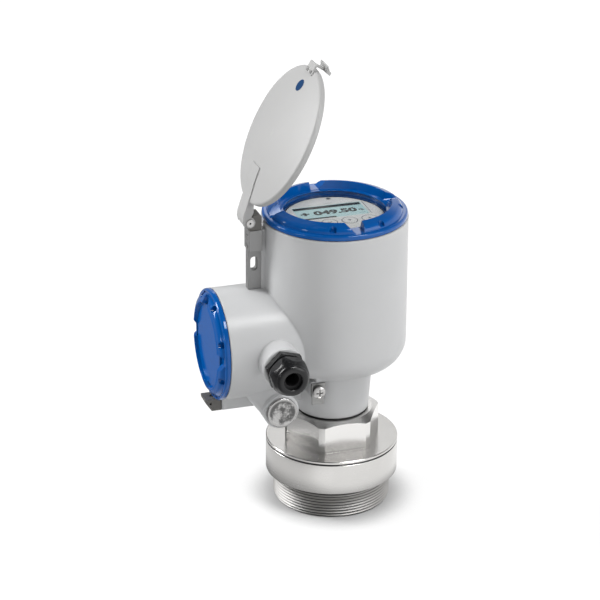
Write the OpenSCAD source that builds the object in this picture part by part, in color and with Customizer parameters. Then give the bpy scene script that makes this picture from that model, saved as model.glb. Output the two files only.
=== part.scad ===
// Radar level transmitter with a threaded process connection, two-chamber
// housing, glazed display cover, hinged weather lid and one cable gland.
// Z is the axis of the process thread, z = 0 is the lower end of the thread.
// The terminal chamber points to -X, the cable entries point to -Y.

/* [Process connection] */
// Outside diameter of the parallel process thread
thread_d = 87.88; // [80:0.01:92]
// Height of the threaded length
thread_h = 19; // [14:0.5:24]
// Height of the relief between thread and collar
relief_h = 3.7; // [2:0.1:5]
// Diameter of the collar and of the flange disc
collar_d = 99.4; // [96:0.2:104]
// Height of the collar
collar_h = 23.6; // [18:0.2:28]
// Thickness of the gasket between collar and flange disc
gasket_h = 1; // [0.6:0.1:1.6]
// Thickness of the flange disc under the hexagon
disc_h = 2.1; // [1.5:0.1:3]
// Width across the flats of the hexagon
hex_af = 65; // [60:1:68]
// Turned diameter across the corners of the hexagon
hex_corner_d = 72.4; // [70:0.2:75]
// Height of the hexagon
hex_h = 23.6; // [18:0.2:26]
// Diameter of the swivel spigot above the hexagon
spigot_d = 44; // [40:1:46]

/* [Housing] */
// Gap closed by the swivel seal between hexagon and neck
swivel_gap = 1.1; // [0.8:0.1:2]
// Outside diameter of the neck at its lower end
neck_d = 54.4; // [52:0.1:58]
// Outside diameter of the neck where it meets the pot
neck_top_d = 59; // [56:0.1:62]
// Outside diameter of the pot at the start of its rounded bottom
pot_d = 108.3; // [104:0.1:112]
// Outside diameter of the pot at its upper face
pot_top_d = 107.4; // [104:0.1:112]
// Radius of the pot's rounded bottom edge
pot_corner_r = 19.7; // [16:0.1:24]
// Height where the pot's wall starts to round in
pot_side_z = 131; // [128:0.1:135]
// Height of the pot's upper face
pot_top_z = 227.1; // [215:0.1:240]
// Outside diameter of the terminal chamber
chamber_d = 82.8; // [78:0.2:86]
// Height of the terminal chamber's axis
chamber_z = 135.2; // [130:0.2:142]
// Distance of the terminal chamber's face from the thread axis
chamber_reach = 90.2; // [84:0.2:96]

/* [Cable entries] */
// Distance of the gland from the thread axis along X
gland_x = 55; // [52:0.5:60]
// Diameter of the boss that carries the gland
gland_boss_d = 31; // [29:0.5:34]
// Distance of the gland boss face from the middle plane
gland_boss_y = 55; // [52:0.5:58]
// Distance of the blanking plug from the thread axis along X
plug_x = 51.5; // [50:0.5:54]
// Height of the blanking plug's axis
plug_z = 92; // [90:0.5:94]
// Diameter of the boss that carries the blanking plug
plug_boss_d = 26.6; // [26:0.2:28]
// Distance of the plug boss face from the middle plane
plug_boss_y = 38; // [36:0.5:40]

/* [Covers] */
// Outside diameter of the display cover
cover_d = 106.4; // [104:0.2:108]
// Height of the display cover above the pot's upper face gap
cover_h = 10; // [9:0.2:11]
// Diameter of the lip that holds the window glass from above
window_d = 75.2; // [72:0.2:78]
// Outside diameter of the terminal cover
end_cover_d = 82.8; // [80:0.2:86]
// Depth of the terminal cover in front of the chamber's face
end_cover_h = 8.2; // [7:0.2:9]
// Depth of the tool notches in the crown of the display cover
notch_h = 6.1; // [3.5:0.1:6.2]

/* [Weather lid] */
// Outside diameter of the lid
lid_d = 106.6; // [105:0.2:108]
// Height of the lid's rim when it is closed
lid_rim_z = 234.3; // [234:0.1:236]
// Height of the lid's crown above its rim
lid_rise = 10.2; // [9:0.2:12]
// Thickness of the lid's crown
lid_wall = 1.4; // [1.2:0.1:1.6]
// Thickness of the lid's skirt
lid_skirt = 1.8; // [1.5:0.1:2.2]
// Angle that the lid stands open from its closed place
lid_open = 62.4; // [0:0.1:100]
// Distance of the hinge pin from the thread axis
hinge_x = 66.5; // [65:0.1:68]
// Height of the hinge pin
hinge_z = 230.5; // [229:0.1:232]
// Diameter of the hinge pin
hinge_pin_d = 3; // [2.5:0.1:3.5]

/* [Display] */
// Height of the bezel's face
face_z = 225.9; // [225:0.1:226]
// Width of the liquid crystal display
lcd_w = 53; // [48:0.5:56]
// Depth of the liquid crystal display
lcd_d = 25; // [22:0.5:27]
// Diameter of a push key
key_d = 10.4; // [9:0.1:11]
// Distance between the axes of neighbouring push keys
key_pitch = 15.3; // [14:0.1:16]

/* [Hidden] */
$fn = 96;
slip = 0.3;
pot_turn = 75.7;
pot_corner_x = pot_d / 2 - pot_corner_r;
cone_x = pot_corner_x + pot_corner_r * cos(pot_turn);
cone_z = pot_side_z - pot_corner_r * sin(pot_turn);
pot_bottom_z = cone_z - (cone_x - neck_top_d / 2) / tan(pot_turn);
collar_z = thread_h + relief_h;
gasket_z = collar_z + collar_h;
disc_z = gasket_z + gasket_h;
hex_z = disc_z + disc_h;
hex_top_z = hex_z + hex_h;
neck_z = hex_top_z + swivel_gap;
adapter_bore_d = 62;
lens_d = 68;
lens_h = 8;
horn_wall = 1.2;
waveguide_d = 20;
spigot_h = 17;
clip_z = hex_top_z + 13.4;
clip_h = 1.2;
neck_bore_h = 12;
neck_chamber_d = 48.4;
pot_bore_d = 93;
pot_floor_z = pot_bottom_z + 10.4;
chamber_bore_d = 73;
partition_x = 37;
thread_clear = 0.2;
cover_z = pot_top_z + slip;
crown_d = 99.4;
crown_bore_d = 82;
crown_z = cover_z + cover_h;
ledge_z = cover_z + 3.6;
glass_d = 76.8;
glass_h = 2.8;
glass_z = ledge_z - 1.4 - glass_h;
retainer_h = 0.7;
end_cover_x = chamber_reach + slip;
block_w = 13;
keel_w = 16;
keel_z = 84.6;
keel_x = 88;
rib_x = 56.8;
ear_gap = 11.6;
latch_x = 48.6;
latch_z = 238.5;
latch_w = 12.4;
latch_rivet_y = [-3.4, 3.4];
display_pockets = [25, 70, 115, 160, 250, 295, 340];
end_pockets = [22.5:45:360];
arm_w = 15.4;
lcd_y = 9.5;
key_y = -11.5;
key_x = [-1.5 * key_pitch, -0.5 * key_pitch, 0.5 * key_pitch, 1.5 * key_pitch];
board_z = 220;
module_d = 72;
ground_x = 20.2;
ground_y = 26.5;
ground_z = 99.6;
bracket_screw_z = [209.5, 218];
body_grey = [0.80, 0.81, 0.82];
cover_blue = [0.03, 0.27, 0.62];
block_brown = [0.42, 0.40, 0.36];
gland_black = [0.16, 0.16, 0.17];

// ---------- shared shapes ----------

// A disc or drum along Z from z0 to z1
module drum(d, z0, z1) {
    translate([0, 0, z0]) cylinder(d = d, h = z1 - z0);
}

// A ring along Z from z0 to z1
module hoop(d_out, d_in, z0, z1) {
    difference() {
        drum(d_out, z0, z1);
        drum(d_in, z0 - 1, z1 + 1);
    }
}

// Turns a shape built along +Z so that it points to -X from the thread axis
module facing_end() {
    translate([0, 0, chamber_z]) rotate([0, -90, 0]) children();
}

// Turns a shape built along +Z so that it points to -Y
module facing_entry(x, z) {
    translate([-x, 0, z]) rotate([90, 0, 0]) children();
}

// Turns a shape built on the closed lid to where the open lid stands
module on_lid() {
    translate([-hinge_x, 0, hinge_z])
        rotate([0, -lid_open, 0])
            translate([hinge_x, 0, -hinge_z])
                children();
}

// A profile in the X-Z plane drawn out across Y, centred on the middle plane
module across(w) {
    translate([0, w / 2, 0]) rotate([90, 0, 0]) linear_extrude(w) children();
}

// A screw with a round domed head and a cross or hexagon recess, head on +Z
module pan_screw(d, shank, head_d, head_h) {
    difference() {
        union() {
            translate([0, 0, -shank]) cylinder(d = d, h = shank);
            intersection() {
                cylinder(d = head_d, h = head_h);
                translate([0, 0, head_h - head_d]) sphere(r = head_d);
            }
        }
        for (a = [0, 90])
            rotate(a)
                translate([-head_d * 0.28, -head_d * 0.05, head_h * 0.4])
                    cube([head_d * 0.56, head_d * 0.1, head_h]);
    }
}

module cap_screw(d, shank, head_d, head_h) {
    difference() {
        union() {
            translate([0, 0, -shank]) cylinder(d = d, h = shank);
            cylinder(d = head_d, h = head_h);
        }
        translate([0, 0, head_h * 0.4]) cylinder(d = head_d * 0.5, h = head_h, $fn = 6);
    }
}

// ---------- process connection ----------

// Threaded adapter with its thick collar and the seat of the lens
module process_adapter() {
    color("silver") difference() {
        union() {
            drum(thread_d, 1.2, thread_h);
            translate([0, 0, 0]) cylinder(d1 = thread_d - 2.4, d2 = thread_d, h = 1.2);
            drum(thread_d - 4.2, thread_h, collar_z);
            drum(collar_d, collar_z, gasket_z);
        }
        drum(lens_d, -1, lens_h - 0.1);
        drum(adapter_bore_d, lens_h - 0.1, gasket_z + 1);
        hoop(lens_d + 3.4, lens_d - 1, 4, 6.4);
    }
}

// Flat-faced lens of the antenna, flush with the thread's lower end
module lens() {
    color("burlywood") {
        drum(lens_d - 0.1, 0, lens_h - 0.1);
        intersection() {
            drum(adapter_bore_d - 5, lens_h - 0.2, lens_h + 6);
            translate([0, 0, lens_h + 5.5 - 82]) sphere(r = 82);
        }
    }
}

module lens_seal() {
    color("black") hoop(lens_d + 3.2, lens_d, 4.1, 6.3);
}

// Horn of the antenna and the waveguide that feeds it
module horn() {
    top_z = hex_top_z + spigot_h + 2;
    flare_z = 16.5;
    throat_z = 46;
    mouth_r = adapter_bore_d / 2 - 1;
    color("gold") rotate_extrude() polygon([
        [mouth_r - 1, lens_h - 0.1], [mouth_r, lens_h - 0.1], [mouth_r, flare_z],
        [waveguide_d / 2, throat_z], [waveguide_d / 2, top_z],
        [waveguide_d / 2 - horn_wall, top_z], [waveguide_d / 2 - horn_wall, throat_z],
        [mouth_r - 1, flare_z]
    ]);
}

module adapter_gasket() {
    color([0.08, 0.08, 0.08]) hoop(collar_d - 1, adapter_bore_d + 0.4, gasket_z, disc_z);
}

// Flange disc, hexagon with turned corners and the spigot of the swivel
module hex_adapter() {
    color("silver") difference() {
        union() {
            drum(adapter_bore_d - 0.1, gasket_z - 8, disc_z + 0.1);
            drum(collar_d, disc_z, hex_z - 0.5);
            translate([0, 0, hex_z - 0.5])
                cylinder(d1 = collar_d, d2 = collar_d - 1, h = 0.5);
            intersection() {
                translate([0, 0, hex_z - 0.1])
                    cylinder(d = hex_af / cos(30), h = hex_h + 0.1, $fn = 6);
                rotate_extrude() polygon([
                    [0, hex_z - 0.2], [hex_corner_d / 2, hex_z - 0.2],
                    [hex_corner_d / 2, hex_top_z - 3.1],
                    [hex_corner_d / 2 - 6.2, hex_top_z], [0, hex_top_z]
                ]);
            }
            drum(spigot_d, hex_top_z - 0.1, hex_top_z + spigot_h);
        }
        drum(waveguide_d + 0.4, gasket_z - 9, hex_top_z + spigot_h + 1);
        translate([0, 0, gasket_z - 9])
            cylinder(d1 = waveguide_d + 14, d2 = waveguide_d + 0.4, h = 9);
        hoop(spigot_d + 1, spigot_d - 3, clip_z, clip_z + clip_h);
    }
}

module swivel_seal() {
    color([0.1, 0.1, 0.1]) hoop(neck_d - 1.4, spigot_d + 0.4, hex_top_z, neck_z - 0.1);
}

// Split spring ring that keeps the housing on the spigot
module retaining_ring() {
    color("dimgray") difference() {
        hoop(spigot_d + 3, spigot_d - 2.8, clip_z + 0.1, clip_z + clip_h - 0.1);
        translate([0, -2, clip_z - 1]) cube([spigot_d, 4, clip_h + 2]);
    }
}

// ---------- housing ----------

// Half section of the neck and the pot, solid: a drafted wall rounds into a
// shallow cone, and a hollow fillet takes the cone down into the drafted neck
module pot_profile() {
    neck_r = neck_top_d / 2;
    fillet = 3.2;
    polygon([
        [0, neck_z], [neck_d / 2 - 0.4, neck_z], [neck_d / 2, neck_z + 0.4],
        [neck_r, pot_bottom_z], [neck_r, pot_bottom_z + 1], [0, pot_bottom_z + 1]
    ]);
    polygon([
        [0, pot_bottom_z], [neck_r, pot_bottom_z], [cone_x, cone_z], [cone_x + 4, cone_z + 8],
        [pot_d / 2, pot_side_z], [pot_top_d / 2, pot_top_z], [0, pot_top_z]
    ]);
    translate([pot_corner_x, pot_side_z]) circle(r = pot_corner_r);
    translate([neck_r - 0.4, pot_bottom_z - fillet - 0.3]) difference() {
        square([fillet + 1.2, fillet + 1.2]);
        translate([fillet + 0.4, 0.1]) circle(r = fillet);
        translate([fillet + 0.4, -1]) square([2, fillet + 2]);
    }
}

// Flare that carries the plug boss out of the chamber's underside
module plug_web() {
    hull() {
        facing_entry(plug_x + 0.4, plug_z + 0.6) drum(plug_boss_d - 2, 33, 34, $fn = 32);
        facing_entry(plug_x + 1, plug_z + 2) drum(plug_boss_d, 8, 9, $fn = 32);
        facing_entry(plug_x + 6, plug_z + 15) drum(plug_boss_d + 8, 14, 22, $fn = 32);
    }
}

// Cast pad of the outer ground terminal on the neck, with a rib over it
module ground_pad() {
    translate([-ground_x - 5.8, -ground_y, 95.8]) cube([11.6, 18, 11.2]);
    translate([-ground_x - 5.6, -39.3, 113]) cube([9.6, 14, 3]);
}

// Outside of the casting before it is hollowed
module housing_solid() {
    rotate_extrude() pot_profile();
    facing_end() drum(chamber_d, 30, chamber_reach);
    facing_entry(gland_x, chamber_z) {
        drum(gland_boss_d, 20, gland_boss_y - 0.8);
        translate([0, 0, gland_boss_y - 0.8])
            cylinder(d1 = gland_boss_d, d2 = gland_boss_d - 1.6, h = 0.8);
    }
    facing_entry(plug_x, plug_z) {
        drum(plug_boss_d, 0, plug_boss_y - 0.8);
        translate([0, 0, plug_boss_y - 0.8])
            cylinder(d1 = plug_boss_d, d2 = plug_boss_d - 1.6, h = 0.8);
    }
    plug_web();
    translate([-keel_x, -keel_w / 2, keel_z]) cube([keel_x - 22, keel_w, 18]);
    translate([-rib_x, -3.2, 170]) cube([12, 6.4, 52.6]);
    ground_pad();
}

// Hollows of the casting: two chambers, the neck bore and all threaded holes
module housing_hollows() {
    drum(spigot_d + 0.1, neck_z - 1, neck_z + neck_bore_h);
    drum(neck_chamber_d, neck_z + neck_bore_h - 0.1, pot_floor_z + 8);
    intersection() {
        drum(pot_bore_d - 5, pot_floor_z, pot_top_z - 20);
        translate([-partition_x, -60, 0]) cube([120, 120, pot_top_z]);
    }
    drum(pot_bore_d - 5, chamber_z + chamber_d / 2 + 4, pot_top_z - 20);
    drum(pot_bore_d + thread_clear * 2, pot_top_z - 20.1, pot_top_z + 1);
    drum(pot_bore_d + 4.8, pot_top_z - 2.4, pot_top_z + 1);
    facing_end() {
        drum(chamber_bore_d - 6, 42, chamber_reach - 14);
        drum(chamber_bore_d + thread_clear * 2, chamber_reach - 14.1, chamber_reach + 1);
        drum(chamber_bore_d + 4.4, chamber_reach - 2.2, chamber_reach + 1);
    }
    facing_entry(gland_x, chamber_z) drum(20, 25, gland_boss_y + 1);
    facing_entry(plug_x, plug_z) drum(20, 6, plug_boss_y + 1);
    translate([-plug_x - 7, -24, plug_z]) cube([14, 18, 16]);
    facing_entry(ground_x, ground_z) drum(4.8, ground_y - 6.2, ground_y + 1);
    for (z = bracket_screw_z)
        translate([-rib_x - 1, 0, z]) rotate([0, 90, 0]) cylinder(d = 3, h = 5.4);
}

module housing() {
    color(body_grey) difference() {
        housing_solid();
        housing_hollows();
    }
}

// Sheet clamp of the outer ground terminal: plate, tongue and one raised edge
module ground_clamp() {
    color("lightgray") facing_entry(ground_x, ground_z) difference() {
        union() {
            translate([-5.5, -3.6, ground_y]) cube([11, 9.8, 1.2]);
            translate([-4.6, -10.8, ground_y]) cube([9.2, 8, 1.2]);
            translate([-5.5, -3.6, ground_y]) cube([0.6, 9.8, 3]);
        }
        drum(5.3, ground_y - 1, ground_y + 4);
    }
}

module ground_washer() {
    color("silver") facing_entry(ground_x, ground_z) hoop(8.6, 5.2, ground_y + 1.2, ground_y + 2);
}

module ground_screw() {
    color("whitesmoke") facing_entry(ground_x, ground_z)
        translate([0, 0, ground_y + 2]) pan_screw(4.7, 7.8, 9.4, 3.4);
}

// ---------- cable entries ----------

// Lower part of the gland: hexagon, threaded shank and the neck for the nut
module gland_body() {
    color(gland_black) facing_entry(gland_x, chamber_z) difference() {
        union() {
            drum(19.9, gland_boss_y - 12, gland_boss_y + 1.4);
            intersection() {
                translate([0, 0, gland_boss_y + 1.2]) rotate(45)
                    cylinder(d = 27 / cos(30), h = 5.2, $fn = 6);
                translate([0, 0, gland_boss_y + 6.4 - 29.5]) sphere(r = 32.5);
            }
            drum(21.6, gland_boss_y + 6.3, gland_boss_y + 13);
        }
        drum(14, gland_boss_y - 13, gland_boss_y + 6);
        drum(17.6, gland_boss_y + 5.9, gland_boss_y + 14);
    }
}

module gland_washer() {
    color("black") facing_entry(gland_x, chamber_z) hoop(26, 20.1, gland_boss_y, gland_boss_y + 1.2);
}

// Rubber insert that grips the cable
module gland_seal() {
    color([0.1, 0.1, 0.1]) facing_entry(gland_x, chamber_z) difference() {
        union() {
            drum(17.4, gland_boss_y + 6.1, gland_boss_y + 14);
            translate([0, 0, gland_boss_y + 14]) cylinder(d1 = 17.4, d2 = 14.5, h = 5);
        }
        drum(10.4, gland_boss_y, gland_boss_y + 24);
    }
}

// Half section of the gland's nut: a slow taper that a round nose closes
module nut_profile(z0) {
    nose = 3.4;
    polygon([
        [0, z0], [13.7, z0], [14.7, z0 + 1], [14.7, z0 + 3.4], [14.1, z0 + 6.4],
        [13.1, z0 + 9.2], [12, z0 + 11.4], [9, z0 + 13.9], [0, z0 + 13.9]
    ]);
    translate([12.1 - nose, z0 + 14.1 - nose]) circle(r = nose);
}

// Domed nut of the gland: six flats at its foot run out under the dome
module gland_nut() {
    z0 = gland_boss_y + 8.9;
    color(gland_black) facing_entry(gland_x, chamber_z) difference() {
        intersection() {
            translate([0, 0, z0]) rotate(45) cylinder(d = 27 / cos(30), h = 20, $fn = 6);
            rotate_extrude() nut_profile(z0);
        }
        drum(22.2, z0 - 1, z0 + 5);
        translate([0, 0, z0 + 4.9]) cylinder(d1 = 18.4, d2 = 13.4, h = 7);
        drum(13.4, z0 + 10, z0 + 18);
        translate([0, 0, z0 + 13.4]) cylinder(d1 = 13.3, d2 = 15, h = 0.8);
    }
}

// Turned plug that closes the second entry, with a dished face
module blanking_plug() {
    color("silver") facing_entry(plug_x, plug_z) difference() {
        union() {
            drum(19.9, plug_boss_y - 12, plug_boss_y + 0.4);
            drum(23.2, plug_boss_y + 0.2, plug_boss_y + 1.6);
            translate([0, 0, plug_boss_y + 1.6]) cylinder(d1 = 23.2, d2 = 22, h = 0.6);
        }
        translate([0, 0, plug_boss_y + 2.3 + 59.2]) sphere(r = 60);
    }
}

module plug_seal() {
    color([0.1, 0.1, 0.1]) facing_entry(plug_x, plug_z) hoop(22.6, 20.1, plug_boss_y, plug_boss_y + 0.2);
}

// ---------- lock block, hinge bracket and hinge ----------

// Block under the end cover; its screw secures the cover
module end_lock_block() {
    top_z = chamber_z - end_cover_d / 2 - 0.5;
    color(block_brown) difference() {
        across(block_w) polygon([
            [-keel_x, keel_z - 0.6], [-keel_x, top_z], [-100.5, top_z],
            [-100.2, top_z - 2.6], [-95.6, keel_z - 0.6]
        ]);
        translate([-93.5, 0, keel_z - 1]) cylinder(d = 4, h = 20);
        translate([-96.4, 10, top_z - 3.6]) rotate([90, 0, 0]) cylinder(d = 1.6, h = 20);
    }
}

module end_lock_screw() {
    color("dimgray") difference() {
        translate([-93.5, 0, keel_z + 0.6]) cylinder(d = 3.9, h = 7.2);
        translate([-93.5, 0, keel_z]) cylinder(d = 2 / cos(30), h = 2.6, $fn = 6);
    }
}

// Upright strap between the end chamber and the hinge, with its seal slot
module hinge_bracket() {
    seat_z = chamber_z + chamber_d / 2 + 0.1;
    depth = 9.8;
    color([0.62, 0.63, 0.64]) difference() {
        union() {
            translate([-rib_x - depth, -3, seat_z]) cube([depth, 6, 32]);
            translate([-rib_x - depth, -6.4, 207.6]) cube([depth, 12.8, 15.8]);
        }
        for (z = [193.9, 199.5])
            translate([-62.2, 4, z]) rotate([90, 0, 0]) cylinder(d = 5.4, h = 8);
        translate([-64.9, -4, 193.9]) cube([5.4, 8, 5.6]);
        for (z = bracket_screw_z) translate([-68, 0, z]) rotate([0, 90, 0]) {
            cylinder(d = 3.2, h = 12);
            cylinder(d = 5.2, h = 3.4);
        }
    }
}

module bracket_screws() {
    color("dimgray") for (z = bracket_screw_z)
        translate([-64.6, 0, z]) rotate([0, -90, 0]) cap_screw(2.9, 11, 5, 1.9);
}

// Block that carries the hinge pin; the lid's arm straddles it
module hinge_block() {
    color(block_brown) difference() {
        union() {
            across(block_w - 2) polygon([
                [-66.2, 223.4], [-57.1, 223.4], [-57.1, 233.9], [-58.6, 235.7],
                [-62.6, 235], [-66.2, 233.2]
            ]);
            translate([-hinge_x, (block_w - 2) / 2, hinge_z]) rotate([90, 0, 0])
                cylinder(d = 6.8, h = block_w - 2);
        }
        translate([-hinge_x, 10, hinge_z]) rotate([90, 0, 0]) cylinder(d = hinge_pin_d + 0.05, h = 20);
    }
}

// Tubular hinge pin with a flanged head at each end
module hinge_pin() {
    color("silver") translate([-hinge_x, 0, hinge_z]) rotate([90, 0, 0]) difference() {
        union() {
            drum(hinge_pin_d, -8.6, 8.6);
            drum(5.8, 7.9, 8.7);
            drum(5.8, -8.7, -7.9);
        }
        drum(1.4, -9, 9);
    }
}

// ---------- electronics ----------

module rf_unit() {
    color("dimgray") difference() {
        union() {
            drum(46, hex_top_z + spigot_h + 3.4, pot_floor_z + 3);
            hoop(60, 44, pot_floor_z, pot_floor_z + 3);
        }
        drum(9, hex_top_z + spigot_h + 2, hex_top_z + spigot_h + 9);
    }
}

// Potted electronics insert with its three fixing lugs and a cable recess
module electronics_module() {
    z0 = pot_floor_z + 3;
    color([0.2, 0.22, 0.25]) difference() {
        union() {
            drum(module_d - 4, z0, board_z - 12);
            drum(module_d, board_z - 12, board_z - 0.2);
        }
        for (a = [60, 180, 300])
            rotate(a) translate([31, 0, board_z - 3]) cylinder(d = 3.2, h = 4);
        translate([10, -40, board_z - 8]) cube([14, 12, 9]);
    }
}

module module_screws() {
    color("silver") for (a = [60, 180, 300])
        rotate(a) translate([31, 0, board_z + 1.5]) pan_screw(3, 4, 5.1, 0.8);
}

module display_board() {
    color([0.05, 0.35, 0.2]) difference() {
        drum(module_d - 2, board_z, board_z + 1.5);
        for (a = [60, 180, 300])
            rotate(a) translate([31, 0, board_z - 1]) cylinder(d = 3.2, h = 4);
    }
}

// Face plate of the display module with its screen window and key holes
module display_bezel() {
    color([0.86, 0.86, 0.80]) difference() {
        union() {
            drum(73, face_z - 2.2, face_z - 0.3);
            translate([0, 0, face_z - 0.3]) cylinder(d1 = 73, d2 = 72.4, h = 0.3);
            hoop(73, 69, board_z + 1.5, face_z - 2);
        }
        translate([-lcd_w / 2, lcd_y - lcd_d / 2, face_z - 5]) cube([lcd_w, lcd_d, 8]);
        for (x = key_x)
            translate([x, key_y, face_z - 4]) cylinder(d = key_d + 0.4, h = 6);
        for (a = [80, 200, 340])
            rotate(a) translate([33.2, 0, face_z - 4]) cylinder(d = 2.2, h = 6);
    }
}

module lcd_panel() {
    color([0.72, 0.80, 0.74])
        translate([-lcd_w / 2 + 0.1, lcd_y - lcd_d / 2 + 0.1, board_z + 1.5])
            cube([lcd_w - 0.2, lcd_d - 0.2, face_z - 0.5 - board_z - 1.5]);
}

module bezel_screws() {
    color("silver") for (a = [80, 200, 340])
        rotate(a) translate([33.2, 0, face_z]) pan_screw(2, 3.8, 3.6, 0.5);
}

// One push key; its foot is wider than the hole so that it cannot fall out
module push_key(i) {
    color([0.90, 0.90, 0.86]) translate([key_x[i], key_y, 0]) {
        drum(key_d, face_z - 2.6, face_z + 0.2);
        drum(key_d + 2.2, face_z - 3.1, face_z - 2.5);
    }
}
module key_1() { push_key(0); }
module key_2() { push_key(1); }
module key_3() { push_key(2); }
module key_4() { push_key(3); }

// ---------- terminal chamber ----------

// Six-way terminal block on the partition
module terminal_block() {
    color([0.25, 0.45, 0.28]) difference() {
        translate([-60, -24, chamber_z - 16]) cube([18, 48, 20]);
        for (i = [0:5]) translate([-61, -20 + i * 8, 0]) {
            translate([0, 0, chamber_z - 1]) rotate([0, 90, 0]) cylinder(d = 5, h = 8);
            translate([0, -2.6, chamber_z - 14]) cube([10, 5.2, 6]);
        }
    }
}

module terminal_screws() {
    color("silver") for (i = [0:5])
        translate([-56, -20 + i * 8, chamber_z - 1]) rotate([0, -90, 0]) pan_screw(3, 2, 4.6, 2);
}

module inner_ground_screw() {
    color("silver") translate([-42, 14, chamber_z + 18]) rotate([0, -90, 0]) difference() {
        union() {
            cylinder(d = 11, h = 1.2);
            translate([0, 0, 1.2]) pan_screw(4, 1, 8, 3);
        }
    }
}

// ---------- display cover ----------

// Outline of a cover in half section: flange with a rounded rim and a crown
// whose top falls away outwards and rounds down to the flange
module crown_profile(r, crown_r, bore_r, z0, z1) {
    edge = 5.4;
    fall = 18;
    rim = 1.7;
    top_z = z1 - (crown_r - edge - bore_r) * tan(fall) - edge / cos(fall);
    shoulder = z0 + 3.9;
    polygon([
        [0, z0], [r - 0.5, z0], [r, z0 + 0.5], [r, shoulder - rim], [r - rim, shoulder - 0.05],
        [0, shoulder - 0.05]
    ]);
    translate([r - rim, shoulder - rim]) circle(r = rim);
    intersection() {
        translate([crown_r - edge, top_z]) circle(r = edge);
        translate([0, z0 + 1]) square([crown_r + 1, z1 - z0]);
    }
    polygon([
        [0, z0 + 1], [crown_r - 0.2, z0 + 1], [crown_r - 0.2, top_z - 0.4],
        [crown_r - edge + (edge - 0.02) * sin(fall), top_z + (edge - 0.02) * cos(fall)],
        [bore_r + 0.6, z1 - 0.2], [bore_r, z1 - 0.5], [0, z1 - 0.5]
    ]);
}

// Tool notch across a crown: steep on one flank, sloped on the other
module tool_notch(r0, r1, z1, depth) {
    translate([r0, 0, 0]) rotate([90, 0, 90]) linear_extrude(r1 - r0) polygon([
        [-6.9, z1 + 0.1], [-7.7, z1 + 1], [6.8, z1 + 1], [5.8, z1 - depth + 0.6],
        [5.2, z1 - depth], [-0.6, z1 - depth]
    ]);
}

// Four tool notches and the grip pockets around a crown
module crown_cuts(crown_r, bore_r, z1, depth, pockets) {
    for (a = [0:90:270])
        rotate(a) tool_notch(bore_r - 6, crown_r + 6, z1, depth);
    for (a = pockets)
        rotate(a) translate([crown_r - 1.7, 0, z1 - 5.2]) cylinder(d = 5, h = 6);
}

// Painted ring of the display cover with its threaded skirt
module display_cover() {
    color(cover_blue) difference() {
        union() {
            rotate_extrude()
                crown_profile(cover_d / 2, crown_d / 2, crown_bore_d / 2, cover_z, crown_z);
            drum(pot_bore_d, cover_z - 12, cover_z + 1.2);
        }
        translate([0, 0, ledge_z])
            cylinder(d1 = crown_bore_d - 2.4, d2 = crown_bore_d + 0.6, h = crown_z - ledge_z + 0.01);
        drum(window_d, glass_z - 2, crown_z);
        drum(glass_d + 0.2, glass_z - 2, glass_z + glass_h + 0.4);
        drum(glass_d + 4.4, cover_z - 13, glass_z - retainer_h);
        difference() {
            crown_cuts(crown_d / 2, crown_bore_d / 2, crown_z, notch_h, display_pockets);
            drum(crown_bore_d - 2.6, cover_z, crown_z + 2);
        }
        hoop(pot_bore_d + 1, pot_bore_d - 2.4, cover_z - 2.2, cover_z - 0.01);
    }
}

module window_gasket() {
    color([0.1, 0.1, 0.1]) hoop(glass_d, window_d + 0.6, glass_z + glass_h, glass_z + glass_h + 0.4);
}

module window_glass() {
    color([0.8, 0.9, 0.9, 0.4]) drum(glass_d, glass_z, glass_z + glass_h);
}

// Thin threaded ring that holds the glass from below, with two pin holes
module window_retainer() {
    color("silver") difference() {
        hoop(glass_d + 0.1, 74.2, glass_z - retainer_h, glass_z);
        for (a = [30, 210])
            rotate(a) translate([37.8, 0, glass_z - retainer_h - 1]) cylinder(d = 0.9, h = 4);
    }
}

// O-ring under the flange of the display cover
module display_cover_seal() {
    color([0.08, 0.08, 0.08]) translate([0, 0, cover_z - 1.05]) rotate_extrude()
        translate([pot_bore_d / 2 - 0.2 + 0.35, 0]) circle(r = 0.95);
}

// ---------- end cover ----------

// Painted closed cover of the terminal chamber
module end_cover() {
    crown_r = end_cover_d / 2 - 2.5;
    bore_r = crown_r - 7.4;
    z1 = end_cover_x + end_cover_h;
    color(cover_blue) facing_end() difference() {
        union() {
            rotate_extrude() crown_profile(end_cover_d / 2, crown_r, bore_r, end_cover_x, z1);
            drum(chamber_bore_d, end_cover_x - 11, end_cover_x + 1);
        }
        translate([0, 0, z1 - 3])
            cylinder(d1 = bore_r * 2 - 1.6, d2 = bore_r * 2 + 0.4, h = 3.01);
        drum(chamber_bore_d - 9, end_cover_x - 12, z1 - 6.6);
        difference() {
            crown_cuts(crown_r, bore_r, z1, 4.2, end_pockets);
            drum(bore_r * 2 - 1.2, end_cover_x, z1 + 2);
        }
        hoop(chamber_bore_d + 1, chamber_bore_d - 2.4, end_cover_x - 2.2, end_cover_x - 0.01);
    }
}

module end_cover_seal() {
    color([0.08, 0.08, 0.08]) facing_end() translate([0, 0, end_cover_x - 1.05]) rotate_extrude()
        translate([chamber_bore_d / 2 + 0.15, 0]) circle(r = 0.95);
}

// ---------- weather lid ----------

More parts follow.
